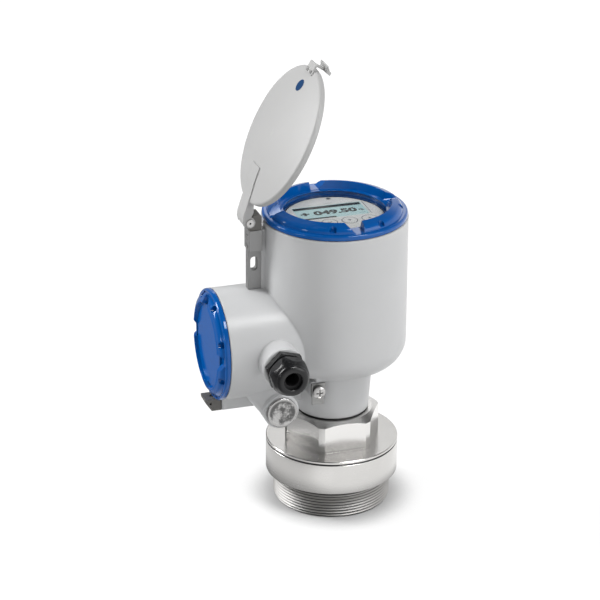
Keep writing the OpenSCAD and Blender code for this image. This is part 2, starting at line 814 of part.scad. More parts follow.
// Half section of the lid's domed shell in its closed place; the inner face is
// the same outline moved in by the skirt's wall and down by the crown's wall
module lid_profile(inset, drop, below) {
    r = lid_d / 2 - inset;
    edge_r = 2 - inset * 0.6;
    edge_z = lid_rim_z + 4.4 - drop;
    sag = lid_rise - 4.4;
    dome_r = (pow(r - edge_r, 2) + sag * sag) / (2 * sag);
    translate([0, lid_rim_z - below]) square([r, edge_z - edge_r - lid_rim_z + below]);
    translate([r - edge_r, edge_z - edge_r]) circle(r = edge_r);
    translate([0, edge_z - edge_r - 1]) square([r - edge_r, edge_r + 1]);
    intersection() {
        translate([0, edge_z + sag - dome_r]) circle(r = dome_r);
        translate([0, edge_z - 0.2]) square([r - edge_r, sag + 1]);
    }
}

// Side view of the hinge arm, from the dome to the rounded end beyond the pin
module arm_outline(drop) {
    polygon([
        [-26.5, 243.6 - drop], [-32.5, 243 - drop], [-39.5, 241.9 - drop], [-47.5, 240.1 - drop],
        [-54.5, 239 - drop], [-63.5, 237.5 - drop], [-67.5, 236 - drop], [-70.4, 233.6 - drop],
        [-70.4, 231.2], [-58, 231.8], [-53, 234.4], [-50, 236.6], [-26.5, 240]
    ]);
}

// Moulded lid: domed shell, skirt and the channelled hinge arm with its two ears
module lid_shell() {
    hinge_at = [-hinge_x, 10, hinge_z];
    color([0.80, 0.80, 0.80]) on_lid() difference() {
        union() {
            rotate_extrude() lid_profile(0, 0, 0);
            across(arm_w) arm_outline(0);
            translate([-hinge_x, arm_w / 2, hinge_z]) rotate([90, 0, 0]) cylinder(d = 8, h = arm_w);
            translate([latch_x, -latch_w / 2 - 0.2, 236]) cube([4.6, latch_w + 0.4, latch_z - 236]);
        }
        translate([latch_x, -latch_w / 2 - 0.2, latch_z]) cube([9, latch_w + 0.4, 9]);
        rotate_extrude() lid_profile(lid_skirt, lid_wall, 6);
        across(ear_gap) difference() {
            union() {
                arm_outline(1.8);
                translate([-71, 224]) square([13.2, 10]);
            }
            translate([-53.4, 224]) square([40, 30]);
        }
        translate(hinge_at) rotate([90, 0, 0]) cylinder(d = hinge_pin_d + 0.05, h = 20);
    }
}

// Spring latch at the lid's free end: foot, leg and a flared finger bar
module lid_latch() {
    color("gainsboro") on_lid() difference() {
        union() {
            across(latch_w) polygon([
                [latch_x, latch_z], [56, latch_z], [56.6, 237.6], [57.6, 238.6], [57.4, 239.4],
                [56.4, 239.9], [latch_x, 239.9]
            ]);
            across(5.4) polygon([
                [56, 239.5], [57.5, 239.2], [56.8, 235], [56.4, 230], [55, 230], [55.4, 235]
            ]);
            across(15) polygon([
                [54.2, 227.2], [56.2, 226.9], [57.4, 229], [60.2, 231.6], [59.6, 232.2],
                [56.6, 230.8], [54.9, 230.6]
            ]);
        }
        for (y = latch_rivet_y) translate([latch_x + 2.4, y, 236]) cylinder(d = 2, h = 5);
    }
}

module latch_rivets() {
    color("silver") on_lid() for (y = latch_rivet_y) translate([latch_x + 2.4, y, 0]) {
        drum(1.9, latch_z, 240);
        drum(3, 239.9, 240.5);
    }
}

// Round self-adhesive dot near the lid's free end
module lid_dot() {
    color(cover_blue) on_lid() intersection() {
        translate([38.5, 0, 0]) drum(9, 240, 246);
        difference() {
            translate([0, 0, 0.15]) rotate_extrude() lid_profile(0, 0, 0);
            rotate_extrude() lid_profile(0, 0, 0);
        }
    }
}

process_adapter();
lens();
lens_seal();
horn();
adapter_gasket();
hex_adapter();
swivel_seal();
retaining_ring();
housing();
ground_clamp();
ground_washer();
ground_screw();
gland_body();
gland_washer();
gland_seal();
gland_nut();
blanking_plug();
plug_seal();
end_lock_block();
end_lock_screw();
hinge_bracket();
bracket_screws();
hinge_block();
hinge_pin();
rf_unit();
electronics_module();
module_screws();
display_board();
display_bezel();
lcd_panel();
bezel_screws();
key_1();
key_2();
key_3();
key_4();
terminal_block();
terminal_screws();
inner_ground_screw();
display_cover_seal();
display_cover();
window_gasket();
window_glass();
window_retainer();
end_cover_seal();
end_cover();
lid_shell();
lid_latch();
latch_rivets();
lid_dot();
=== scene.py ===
"""The looks of a radar level transmitter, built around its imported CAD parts."""
import math

import bmesh
import bpy
import numpy as np
from mathutils import Matrix, Vector


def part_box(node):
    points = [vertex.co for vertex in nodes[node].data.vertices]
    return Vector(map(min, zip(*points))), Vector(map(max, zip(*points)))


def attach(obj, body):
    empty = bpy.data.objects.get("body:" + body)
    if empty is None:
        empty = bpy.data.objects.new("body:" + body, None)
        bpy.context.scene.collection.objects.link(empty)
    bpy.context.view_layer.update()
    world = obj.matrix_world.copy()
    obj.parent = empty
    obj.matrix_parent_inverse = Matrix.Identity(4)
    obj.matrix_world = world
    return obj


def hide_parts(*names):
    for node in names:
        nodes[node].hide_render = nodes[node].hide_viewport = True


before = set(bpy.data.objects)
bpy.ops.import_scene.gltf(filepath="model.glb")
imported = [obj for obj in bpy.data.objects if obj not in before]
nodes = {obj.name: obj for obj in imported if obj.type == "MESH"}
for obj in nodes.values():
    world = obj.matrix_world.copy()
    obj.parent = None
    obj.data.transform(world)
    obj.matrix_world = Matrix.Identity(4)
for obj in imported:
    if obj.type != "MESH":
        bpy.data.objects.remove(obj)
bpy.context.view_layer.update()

# ---- Process adapter --------------------------------------------------------
# The stainless adapter that screws into the vessel: a G3 parallel thread with
# a relief above it and a thick collar, turned from bar in one clamping.

MM = 0.001
TURN = 2 * math.pi


class Flow:
    """A socket of a material. Arithmetic on it adds Math nodes, and node() adds any other node."""

    def __init__(self, tree, socket=None):
        self.tree = tree
        self.socket = socket

    def node(self, kind, settings=None, inputs=None, out=0):
        made = self.tree.nodes.new(kind)
        for name, value in (settings or {}).items():
            setattr(made, name, value)
        for name, value in (inputs or {}).items():
            if isinstance(value, Flow):
                self.tree.links.new(value.socket, made.inputs[name])
            else:
                made.inputs[name].default_value = value
        return Flow(self.tree, made.outputs[out])

    def math(self, operation, *values):
        return self.node("ShaderNodeMath", {"operation": operation}, dict(enumerate(values)))

    def __add__(self, other):
        return self.math("ADD", self, other)

    def __sub__(self, other):
        return self.math("SUBTRACT", self, other)

    def __rsub__(self, other):
        return self.math("SUBTRACT", other, self)

    def __mul__(self, other):
        return self.math("MULTIPLY", self, other)

    def __truediv__(self, other):
        return self.math("DIVIDE", self, other)

    def __pow__(self, other):
        return self.math("POWER", self, other)

    __radd__ = __add__
    __rmul__ = __mul__

    def split(self):
        """The X, Y and Z of a vector socket."""
        made = self.node("ShaderNodeSeparateXYZ", inputs={0: self})
        return [Flow(self.tree, out) for out in made.socket.node.outputs]

    def ease(self, low, high, start=0.0, end=1.0):
        """Start up to low, end from high on, and an S-shaped step between them."""
        return self.node("ShaderNodeMapRange", {"interpolation_type": "SMOOTHSTEP"},
                         {"Value": self, "From Min": low, "From Max": high,
                          "To Min": start, "To Max": end})

    def above(self, edge, soft):
        """1 above the edge and 0 below it, changing over soft on each side."""
        return self.ease(edge - soft, edge + soft)

    def below(self, edge, soft):
        """1 below the edge and 0 above it, changing over soft on each side."""
        return self.ease(edge - soft, edge + soft, 1.0, 0.0)

    def reach(self, other):
        """The square root of the sum of both squares."""
        return (self * self + other * other) ** 0.5

    def noise(self, scale, detail=2.0, roughness=0.5):
        """Noise with a feature size of about 1 / scale, read at this vector."""
        return self.node("ShaderNodeTexNoise", {},
                         {"Vector": self, "Scale": scale, "Detail": detail, "Roughness": roughness})

    def shade(self, dark, light):
        """A colour between dark and light, by this value. Dark may be another flow."""
        under = dark if isinstance(dark, Flow) else (*dark, 1)
        return self.node("ShaderNodeMix", {"data_type": "RGBA"},
                         {0: self, 6: under, 7: (*light, 1)}, out=2)


class Finish:
    """A material with one Principled shader. at is the Object coordinate of the surface."""

    def __init__(self, name, **constants):
        self.material = bpy.data.materials.new(name)
        self.material.use_nodes = True
        tree = self.material.node_tree
        self.shader = tree.nodes["Principled BSDF"]
        for key, value in constants.items():
            self.shader.inputs[key.replace("_", " ")].default_value = value
        self.at = Flow(tree).node("ShaderNodeTexCoord", out="Object")

    def feed(self, socket, flow):
        """Links the flow to a socket of the shader."""
        self.material.node_tree.links.new(flow.socket, self.shader.inputs[socket])
        return self

    def fed(self, socket):
        """The flow that a socket of the shader has been given."""
        return Flow(self.material.node_tree, self.shader.inputs[socket].links[0].from_socket)

    def relief(self, height, distance, strength=1.0, edge=0.0):
        """Bumps the surface by height times distance; edge rounds the corners of the mesh."""
        inputs = {"Height": height, "Distance": distance, "Strength": strength}
        if edge:
            inputs["Normal"] = self.at.node("ShaderNodeBevel", {"samples": 6}, {"Radius": edge})
        return self.feed("Normal", self.at.node("ShaderNodeBump", inputs=inputs))

    def on(self, *names):
        """Gives the finish to CAD nodes or to new objects."""
        for name in names:
            mesh = (nodes[name] if isinstance(name, str) else name).data
            mesh.materials.clear()
            mesh.materials.append(self.material)
        return self


def rings_round(radius, along, fineness):
    """Noise that stays the same on each circle round an axis, as a lathe leaves it."""
    return radius.node("ShaderNodeCombineXYZ", inputs={0: radius, 1: along}).noise(fineness)


def turned_metal(name, low, high, rough, edge=0.0004):
    """Metal cut on a lathe: fine rings round the thread's axis, under a broad faint smear."""
    made = Finish(name, Metallic=1.0)
    x, y, z = made.at.split()
    rings = rings_round(x.reach(y), z, 5200)
    smear = made.at.noise(60, 3)
    made.feed("Base Color", (smear * 0.6 + rings * 0.4).shade(low, high))
    made.feed("Roughness", rings * 0.14 + smear * 0.08 + (rough - 0.1))
    made.relief(rings, 0.00004, 0.35, edge)
    return made


def solid_of_revolution(name, outline, steps, lead=None, centre=(0, 0)):
    """A closed ring, in mm: each outline point (radius, height) is carried in equal steps round
    the vertical line through centre. The last point joins the first, or the rows of lead, which
    are their radii and their heights at every step."""
    angle = np.linspace(0, TURN, steps + 1)
    points = np.array(outline, float)
    radius = np.repeat(points[:, :1], steps + 1, axis=1)
    height = np.repeat(points[:, 1:], steps + 1, axis=1)
    more_radius, more_height = lead or (radius[:1], height[:1])
    radius = np.vstack([radius, more_radius])
    height = np.vstack([height, more_height])
    rows, columns = radius.shape
    co = np.stack([radius * np.cos(angle) + centre[0], radius * np.sin(angle) + centre[1], height],
                  axis=-1).reshape(-1, 3)
    first = (np.arange(rows - 1)[:, None] * columns + np.arange(columns - 1)[None]).ravel()
    quads = np.stack([first, first + 1, first + columns + 1, first + columns], axis=1)
    mesh = bpy.data.meshes.new(name)
    mesh.from_pydata((co * MM).tolist(), [], quads.tolist())
    made = bpy.data.objects.new(name, mesh)
    bpy.context.scene.collection.objects.link(made)
    closed(mesh)
    return made


def closed(mesh):
    """Merges doubled vertices, drops faces of no area, turns faces outwards, and marks as sharp
    the edges that turn by more than 35 degrees."""
    work = bmesh.new()
    work.from_mesh(mesh)
    bmesh.ops.remove_doubles(work, verts=work.verts, dist=2e-6)
    bmesh.ops.dissolve_degenerate(work, edges=work.edges, dist=1e-7)
    bmesh.ops.recalc_face_normals(work, faces=work.faces)
    work.to_mesh(mesh)
    work.free()
    mesh.shade_smooth()
    mesh.set_sharp_from_angle(angle=math.radians(35))


ADAPTER_STEPS = 192
thread_r, thread_top, pitch = 43.94, 19.0, 2.309
thread_depth = 0.64 * pitch
relief_r = thread_r - thread_depth - 0.5
collar_r, collar_low, collar_top = 49.7, 22.7, 46.3
horn_bore_r, lens_seat_r, lens_seat_top = 31, 34, 7.9
phases = np.array([0.0, 0.07, 0.16, 0.28, 0.40, 0.5, 0.60, 0.72, 0.84, 0.93])


def thread_rows():
    """Rows that climb one pitch a turn. The depth follows a rounded V over each pitch, and the
    lead-in cone and the relief cut it off at its two ends."""
    turns = np.arange(-1, math.ceil(thread_top / pitch) + 1)
    starts = ((turns[:, None] + phases[None]) * pitch).ravel()
    angle = np.linspace(0, TURN, ADAPTER_STEPS + 1)
    height = np.clip(starts[:, None] + pitch * angle / TURN, 0, thread_top)
    phase = np.tile(phases, len(turns))[:, None]
    groove = 1 - np.abs(1 - 2 * phase) ** 1.15
    radius = thread_r - thread_depth * groove + 0 * height
    radius = np.minimum(radius, relief_r + height * 1.1)
    radius = np.minimum(radius, relief_r + (thread_top - height) * 1.1)
    return radius, height


adapter = solid_of_revolution("process_adapter_body", [
    (relief_r, thread_top), (relief_r, collar_low - 0.8), (relief_r + 0.8, collar_low),
    (collar_r - 0.5, collar_low), (collar_r - 0.15, collar_low + 0.15),
    (collar_r, collar_low + 0.5), (collar_r, collar_top - 0.2), (collar_r - 0.2, collar_top),
    (horn_bore_r, collar_top), (horn_bore_r, lens_seat_top), (lens_seat_r, lens_seat_top),
    (lens_seat_r, 0.3), (lens_seat_r + 0.3, 0), (relief_r, 0),
], ADAPTER_STEPS, thread_rows())
steel_dark, steel_light = (0.56, 0.55, 0.535), (0.70, 0.69, 0.675)

threaded = turned_metal("threaded_steel", steel_dark, steel_light, 0.24, edge=0.0001)
x, y, z = threaded.at.split()
# The roots of the thread are painted nearly black, a painted shade in the grooves, and the whole
# threaded length is a little darker.
crest = x.reach(y).ease((thread_r - thread_depth) * MM, (thread_r - 0.45 * thread_depth) * MM)
cut_zone = z.below((thread_top + 0.6) * MM, 0.0004)
darker_thread = (cut_zone * 0.15).shade(threaded.fed("Base Color"), (0.2, 0.2, 0.2))
painted_groove_shade = (1 - crest) * cut_zone
rough = threaded.fed("Roughness") + cut_zone * 0.30
threaded.feed("Base Color", (painted_groove_shade * 0.88).shade(darker_thread, (0.04, 0.04, 0.04)))
threaded.feed("Roughness", rough).on(adapter)
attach(adapter, "process_connection")
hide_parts("process_adapter")

# ---- Hexagon and disc -------------------------------------------------------
# Turned from the same steel. The hexagon is painted brighter, a painted highlight,
# and the foot of the disc's rim has a painted shadow where it meets the gasket.

seam_top, seam_r, hexagon_low = 0.0477, 0.0478, 0.0508
steel = turned_metal("turned_steel", steel_dark, steel_light, 0.22, edge=0.00015)
x, y, z = steel.at.split()
# A painted shadow at the foot of the disc's rim, where it meets the gasket.
painted_seam_shadow = z.below(seam_top, 0.0001) * x.reach(y).above(seam_r, 0.0002)
# The hexagon is painted brighter than the rest of the steel: a painted highlight.
painted_hex_highlight = (z.above(hexagon_low, 0.0002) * 0.55).shade(steel.fed("Base Color"),
                                                       (0.88, 0.87, 0.855))
steel.feed("Base Color", (painted_seam_shadow * 0.9).shade(painted_hex_highlight, (0.02, 0.02, 0.02))).on("hex_adapter")

# ---- Lens, horn and seals ---------------------------------------------------
# The flush plastic lens closes the adapter; the brass horn stands on it. Rubber
# rings and the thin gasket seal it, and the swivel seal sits under the neck.

lens_plastic = Finish("lens_plastic", Roughness=0.42, Subsurface_Weight=0.15)
x, y, z = lens_plastic.at.split()
rings = rings_round(x.reach(y), z, 2600)
lens_plastic.feed("Base Color", rings.shade((0.78, 0.75, 0.66), (0.86, 0.84, 0.76)))
lens_plastic.relief(rings, 0.00003, 0.3).on("lens")

brass = turned_metal("horn_brass", (0.62, 0.46, 0.20), (0.76, 0.60, 0.30), 0.3)
brass.on("horn")

rubber = Finish("black_rubber", Specular_IOR_Level=0.3)
bloom = rubber.at.noise(220, 4)
rubber.feed("Base Color", bloom.shade((0.012, 0.012, 0.013), (0.030, 0.030, 0.031)))
rubber.feed("Roughness", bloom * 0.2 + 0.55)
rubber.relief(rubber.at.noise(2500, 3), 0.00005, 0.4, 0.0002)
rubber.on("lens_seal", "adapter_gasket", "swivel_seal", "gland_washer", "gland_seal", "plug_seal",
          "display_cover_seal", "end_cover_seal", "window_gasket")

# ---- Small fasteners --------------------------------------------------------
# Zinc-plated screws and rivets, and the spring ring that holds the housing, all
# with the clouded shine of barrel plating.

zinc = Finish("plain_steel", Metallic=1.0)
cloud = zinc.at.noise(420, 4)
zinc.feed("Base Color", cloud.shade((0.42, 0.42, 0.42), (0.60, 0.60, 0.59)))
zinc.feed("Roughness", cloud * 0.2 + 0.25)
zinc.relief(cloud, 0.00004, 0.3, 0.00025)
zinc.on("retaining_ring", "end_lock_screw", "bracket_screws", "module_screws", "bezel_screws",
        "terminal_screws", "inner_ground_screw", "latch_rivets")

# ---- Housing casting --------------------------------------------------------
# One aluminium casting with a fine, slightly uneven coat of light grey powder
# paint that rounds every corner and fills the inner ones.

powder = Finish("casting_paint", Coat_Weight=0.25, Coat_Roughness=0.25)
tone = powder.at.noise(30, 3)
fine = powder.at.noise(1500, 2)
powder.feed("Base Color", (tone * 0.7 + fine * 0.3).shade((0.515, 0.520, 0.525),
                                                          (0.575, 0.580, 0.585)))
powder.feed("Roughness", fine * 0.12 + 0.34)
powder.relief(fine, 0.00005, 0.22, 0.0020)
powder.on("housing")

# ---- Ground terminal --------------------------------------------------------
# A bent plate and a washer, both dull zinc-plated, held on the neck's pad by a
# bright pan-head screw.

bright = Finish("bright_steel", Metallic=1.0)
wear = bright.at.noise(300, 3)
bright.feed("Base Color", wear.shade((0.36, 0.357, 0.353), (0.54, 0.534, 0.527)))
bright.feed("Roughness", wear * 0.16 + 0.12)
bright.relief(wear, 0.00003, 0.2, 0.0003)
bright.on("ground_screw", "hinge_pin")

plated = Finish("plated_steel", Metallic=1.0)
stain = plated.at.noise(380, 4)
plated.feed("Base Color", stain.shade((0.20, 0.20, 0.195), (0.34, 0.34, 0.335)))
plated.feed("Roughness", stain * 0.2 + 0.28)
plated.relief(stain, 0.00004, 0.3, 0.0003).on("ground_clamp", "ground_washer")

# ---- Cable gland ------------------------------------------------------------
# Body and domed nut moulded in black polyamide, with a faintly grained skin.
# The nut squeezes a rubber ring onto the cable.

polyamide = Finish("gland_plastic", Specular_IOR_Level=0.4)
skin = polyamide.at.noise(1800, 2)
polyamide.feed("Base Color", polyamide.at.noise(90).shade((0.005, 0.005, 0.006),
                                                          (0.010, 0.010, 0.011)))
polyamide.feed("Roughness", skin * 0.10 + 0.20)
polyamide.relief(skin, 0.00004, 0.3, 0.0005)
polyamide.on("gland_body", "gland_nut")

# ---- Blanking plug ----------------------------------------------------------
# A turned plug with a shallow dish in its face. Its rings run round its own
# axis, which lies along Y. Dark reflections are painted on the dish in patches, most at its top.

dish_r = 0.0098
plug_low, plug_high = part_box("blanking_plug")
plug_axis = (plug_low + plug_high) / 2
plug_steel = Finish("plug_steel", Metallic=1.0)
x, y, z = plug_steel.at.split()
x, z = x - plug_axis.x, z - plug_axis.z
cut = rings_round(x.reach(z), y, 1800)
plug_shade = cut.shade((0.34, 0.337, 0.333), (0.50, 0.496, 0.49))
smear = plug_steel.at.noise(170, 5, 0.65)
# Painted reflection: dark patches on the dish, more of them towards its top.
painted_dark_reflection = (smear + z * 9).ease(0.38, 0.58) * x.reach(z).below(dish_r, 0.0008)
plug_steel.feed("Base Color", (painted_dark_reflection * 0.9).shade(plug_shade, (0.07, 0.07, 0.07)))
plug_steel.feed("Roughness", cut * 0.08 + 0.16)
plug_steel.relief(smear * 8 + cut * 0.2, 0.00012, 0.8, 0.0003).on("blanking_plug")

# ---- Lock block, hinge block and bracket ------------------------------------
# Two small blocks with a dark grey-brown satin coat, and a blasted steel strap
# between the end chamber and the hinge.

dark_coat = Finish("block_paint")
mottle = dark_coat.at.noise(260, 3)
dark_coat.feed("Base Color", mottle.shade((0.105, 0.100, 0.092), (0.150, 0.145, 0.135)))
dark_coat.feed("Roughness", mottle * 0.15 + 0.38)
dark_coat.relief(dark_coat.at.noise(1600), 0.00004, 0.25, 0.0005)
dark_coat.on("end_lock_block", "hinge_block")

blasted = Finish("bracket_steel", Metallic=0.6)
grit = blasted.at.noise(1900, 3)
blasted.feed("Base Color", grit.shade((0.24, 0.24, 0.24), (0.34, 0.34, 0.34)))
blasted.feed("Roughness", grit * 0.15 + 0.42)
blasted.relief(grit, 0.00004, 0.3, 0.0005)
blasted.on("hinge_bracket")

# ---- Electronics ------------------------------------------------------------
# Radio unit, potted module, display board, face plate and screen, with the
# terminal block in the end chamber.

cast_case = Finish("module_metal", Metallic=0.8, Roughness=0.5)
cast_case.feed("Base Color", cast_case.at.noise(300).shade((0.34, 0.35, 0.36), (0.46, 0.47, 0.48)))
cast_case.on("rf_unit")

potting = Finish("module_plastic")
potting.feed("Base Color", potting.at.noise(400).shade((0.02, 0.022, 0.026), (0.035, 0.038, 0.042)))
potting.feed("Roughness", potting.at.noise(900) * 0.2 + 0.4)
potting.on("electronics_module")

mask = Finish("board_green", Roughness=0.35)
mask.feed("Base Color", mask.at.noise(500).shade((0.010, 0.10, 0.045), (0.020, 0.14, 0.065)))
mask.on("display_board")

strip = Finish("terminal_green", Roughness=0.4)
strip.feed("Base Color", strip.at.noise(300).shade((0.03, 0.22, 0.09), (0.045, 0.27, 0.12)))
strip.on("terminal_block")

# The face plate and the keys glow faintly, though they are no lamp: painted light.
glowing_film = Finish("bezel_cream", Roughness=0.55, Specular_IOR_Level=0.1, Emission_Strength=0.12)
glowing_film.feed("Base Color", glowing_film.at.noise(200).shade((0.84, 0.85, 0.84), (0.90, 0.91, 0.90)))
glowing_film.feed("Emission Color", glowing_film.at.noise(200).shade((0.84, 0.86, 0.86), (0.90, 0.92, 0.92)))
glowing_film.relief(glowing_film.at.noise(2200), 0.00003, 0.2, 0.0002)
glowing_film.on("display_bezel", "key_1", "key_2", "key_3", "key_4")

crystal = Finish("lcd_grey", Roughness=0.30, Specular_IOR_Level=0.1, Emission_Strength=0.20)
backlight = crystal.at.noise(60)
crystal.feed("Base Color", backlight.shade((0.52, 0.74, 0.76), (0.58, 0.80, 0.82)))
crystal.feed("Emission Color", backlight.shade((0.45, 0.85, 0.90), (0.52, 0.92, 0.95)))
crystal.on("lcd_panel")

# ---- Display print ----------------------------------------------------------
# What the screen shows and what is printed on the face plate and the keys: a
# header bar, a reading, a bar graph, a ring round each key and an arrow on it.


def printed(name, outlines, low, high):
    """Thin prisms: an outline's corners at height low, the same corners at height high, a cap on
    each and one side face for each edge. All in mm."""
    corners, faces, used = [], [], 0
    for outline in outlines:
        flat = np.array(outline, float)
        count = len(flat)
        corners.append(np.vstack([np.column_stack([flat, np.full(count, low)]),
                                  np.column_stack([flat, np.full(count, high)])]))
        at = np.arange(count)
        after = (at + 1) % count
        faces += [(used + at[::-1]).tolist(), (used + count + at).tolist()]
        faces += (used + np.stack([at, after, after + count, at + count], axis=1)).tolist()
        used += 2 * count
    mesh = bpy.data.meshes.new(name)
    mesh.from_pydata((np.vstack(corners) * MM).tolist(), [], faces)
    made = bpy.data.objects.new(name, mesh)
    bpy.context.scene.collection.objects.link(made)
    return made


def bar(x0, y0, x1, y1):
    """The four corners of an upright rectangle, anticlockwise."""
    return [(x0, y0), (x1, y0), (x1, y1), (x0, y1)]


def figures(name, words, x0, y0, x1, y1, low, high):
    """Figures as a mesh, stretched to fill the box from x0, y0, low to x1, y1, high in mm."""
    curve = bpy.data.curves.new(name + "_outline", "FONT")
    curve.body, curve.extrude, curve.offset, curve.resolution_u = words, 0.05, 0.052, 4
    holder = bpy.data.objects.new(name + "_outline", curve)
    bpy.context.scene.collection.objects.link(holder)
    bpy.context.view_layer.update()
    solved = holder.evaluated_get(bpy.context.evaluated_depsgraph_get())
    mesh = bpy.data.meshes.new_from_object(solved)
    bpy.data.objects.remove(holder)
    bpy.data.curves.remove(curve)
    co = np.empty(len(mesh.vertices) * 3)
    mesh.vertices.foreach_get("co", co)
    co = co.reshape(-1, 3)
    unit = (co - co.min(axis=0)) / np.ptp(co, axis=0)
    place = np.array((x0, y0, low)) + unit * (np.array((x1, y1, high)) - np.array((x0, y0, low)))
    mesh.vertices.foreach_set("co", (place * MM).ravel())
    mesh.name = name
    made = bpy.data.objects.new(name, mesh)
    bpy.context.scene.collection.objects.link(made)
    closed(mesh)
    return made


ink = Finish("printing_ink", Roughness=0.6, Specular_IOR_Level=0.05)
ink.feed("Base Color", ink.at.noise(900).shade((0.004, 0.006, 0.008), (0.010, 0.012, 0.014)))
line_ink = Finish("line_ink", Roughness=0.6, Specular_IOR_Level=0.05)
line_ink.feed("Base Color", line_ink.at.noise(900).shade((0.012, 0.030, 0.065),
                                                        (0.020, 0.042, 0.085)))

sunk, proud = 0.02, 0.03
screen_low, screen_high = (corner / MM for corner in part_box("lcd_panel"))
left, front = screen_low.x, screen_low.y
on_screen = screen_high.z - sunk, screen_high.z + proud
marks = printed("screen_marks", [
    bar(left + 0.5, front + 19.9, left + 52.2, front + 24.3),
    bar(left + 1.4, front + 0.6, left + 27.6, front + 3.4),
    bar(left + 28.1, front + 0.7, left + 51.6, front + 1.0),
    bar(left + 51.3, front + 1.0, left + 51.6, front + 3.1),
    bar(left + 46.6, front + 4.6, left + 51.0, front + 4.9),
], *on_screen)
reading = figures("screen_reading", "+ 049.50", left + 3.2, front + 7.6, left + 46.2, front + 15.6,
                  *on_screen)
unit_mark = figures("screen_unit", "%", left + 47.3, front + 8.0, left + 51.0, front + 11.8,
                    *on_screen)
plate_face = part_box("display_bezel")[1].z / MM
on_plate = plate_face - sunk, plate_face + proud
frame_line = printed("plate_line", [
    bar(screen_high.x + 1.2, front + 0.4, screen_high.x + 1.55, front + 23.6),
    bar(-6, screen_high.y + 2.2, 6, screen_high.y + 2.4),
], *on_plate)

ring_inner, ring_outer = 5.46, 6.00
arrows = {
    "key_1": ("back_key", [[(-2.0, 0), (-0.4, -1.2), (-0.4, 1.2)], bar(-0.5, -0.3, 2.0, 0.3)]),
    "key_2": ("enter_key", [[(-2.1, -0.5), (-0.7, -1.6), (-0.7, 0.6)], bar(-0.8, -0.75, 1.9, -0.25),
                            bar(1.4, -0.3, 1.9, 1.5)]),
    "key_3": ("down_key", [[(0, -1.3), (1.5, 0.8), (-1.5, 0.8)]]),
    "key_4": ("up_key", [[(0, 1.3), (-1.5, -0.8), (1.5, -0.8)]]),
}
for key, (body, shapes) in arrows.items():
    cap_low, cap_high = (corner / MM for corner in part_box(key))
    middle = np.array(((cap_low + cap_high) / 2)[:2])
    arrow = printed(key + "_arrow", [np.array(shape) + middle for shape in shapes],
                    cap_high.z - sunk, cap_high.z + proud)
    line_ink.on(arrow)
    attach(arrow, body)
    ring = solid_of_revolution(key + "_ring", [
        (ring_inner, on_plate[0]), (ring_outer, on_plate[0]),
        (ring_outer, on_plate[1]), (ring_inner, on_plate[1]),
    ], 64, centre=middle)
    line_ink.on(ring)
    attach(ring, "housing_assembly")
for piece in (marks, reading, unit_mark):
    ink.on(piece)
    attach(piece, "housing_assembly")
line_ink.on(frame_line)
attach(frame_line, "housing_assembly")

# ---- Screw covers -----------------------------------------------------------
# The two covers are castings with a thick gloss blue coat, which flows round
# the notches and pockets and shows a slight orange peel. The end cover's flat
# face is duller than its rim.

end_face_r = 0.0335
end_low, end_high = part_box("end_cover")
end_axis = (end_low + end_high) / 2
blue_coat = Finish("cover_paint", Coat_Roughness=0.04, Specular_IOR_Level=0.12,
                   Specular_Tint=(0.15, 0.50, 1.0, 1.0))
x, y, z = blue_coat.at.split()
from_axis = (y - end_axis.y).reach(z - end_axis.z)
end_face = x.below(end_high.x, 0.001) * from_axis.below(end_face_r, 0.0004)
flow = blue_coat.at.noise(260, 2)
blue_coat.feed("Base Color", flow.shade((0.000, 0.078, 0.320), (0.000, 0.090, 0.365)))
blue_coat.feed("Coat Weight", 0.70 - end_face * 0.62)
blue_coat.feed("Roughness", flow * 0.06 + 0.15)
blue_coat.relief(flow, 0.00003, 0.2, 0.0010).on("display_cover", "end_cover")

# ---- Window glass -----------------------------------------------------------
# A clear polished disc. It is nearly see-through face on and reflects more at a
# glancing angle. Its ground edge, behind the retainer, adds nothing.

glass_edge_r = 0.0379
glass = Finish("window_glass", Roughness=0.02, IOR=1.5)
x, y, _ = glass.at.split()
glance = glass.at.node("ShaderNodeFresnel", inputs={"IOR": 1.45})
rim = x.reach(y).above(glass_edge_r, 0.0001)
glass.feed("Base Color", glass.at.noise(20).shade((0.05, 0.06, 0.06), (0.07, 0.08, 0.08)))
glass.feed("Alpha", (glance * 0.35 + 0.02) * (1 - rim) + rim * 0.03).on("window_glass")

# ---- Window retainer --------------------------------------------------------
# A thin threaded ring that holds the glass, in metal dyed the blue of the
# covers.

anodised = Finish("retainer_metal", Metallic=0.35, Specular_IOR_Level=0.3)
dye = anodised.at.noise(700, 3)
anodised.feed("Base Color", dye.shade((0.000, 0.070, 0.290), (0.004, 0.095, 0.360)))
anodised.feed("Roughness", dye * 0.2 + 0.35).on("window_retainer")

# ---- Weather lid ------------------------------------------------------------
# A thin lid moulded in light grey plastic, with its latch riveted to the rim and
# a plain blue dot on its face.

moulded = Finish("lid_plastic")
grain = moulded.at.noise(2100, 2)
moulded.feed("Base Color", moulded.at.noise(25).shade((0.405, 0.405, 0.403), (0.435, 0.435, 0.433)))
moulded.feed("Roughness", grain * 0.12 + 0.40)
moulded.relief(grain, 0.00004, 0.25, 0.0006).on("lid_shell")

latch_skin = Finish("latch_plastic", Roughness=0.4)
latch_skin.feed("Base Color", latch_skin.at.noise(500).shade((0.41, 0.41, 0.405),
                                                            (0.47, 0.47, 0.465)))
latch_skin.relief(latch_skin.at.noise(1900), 0.00004, 0.25, 0.0004).on("lid_latch")

dot = Finish("dot_blue", Roughness=0.35, Specular_IOR_Level=0.2)
dot.feed("Base Color", dot.at.noise(500).shade((0.000, 0.035, 0.120), (0.000, 0.045, 0.150)))
dot.on("lid_dot")

# ---- Camera -----------------------------------------------------------------
# A long lens from the front, a little above the object and to its left, and
# rolled by half a degree.

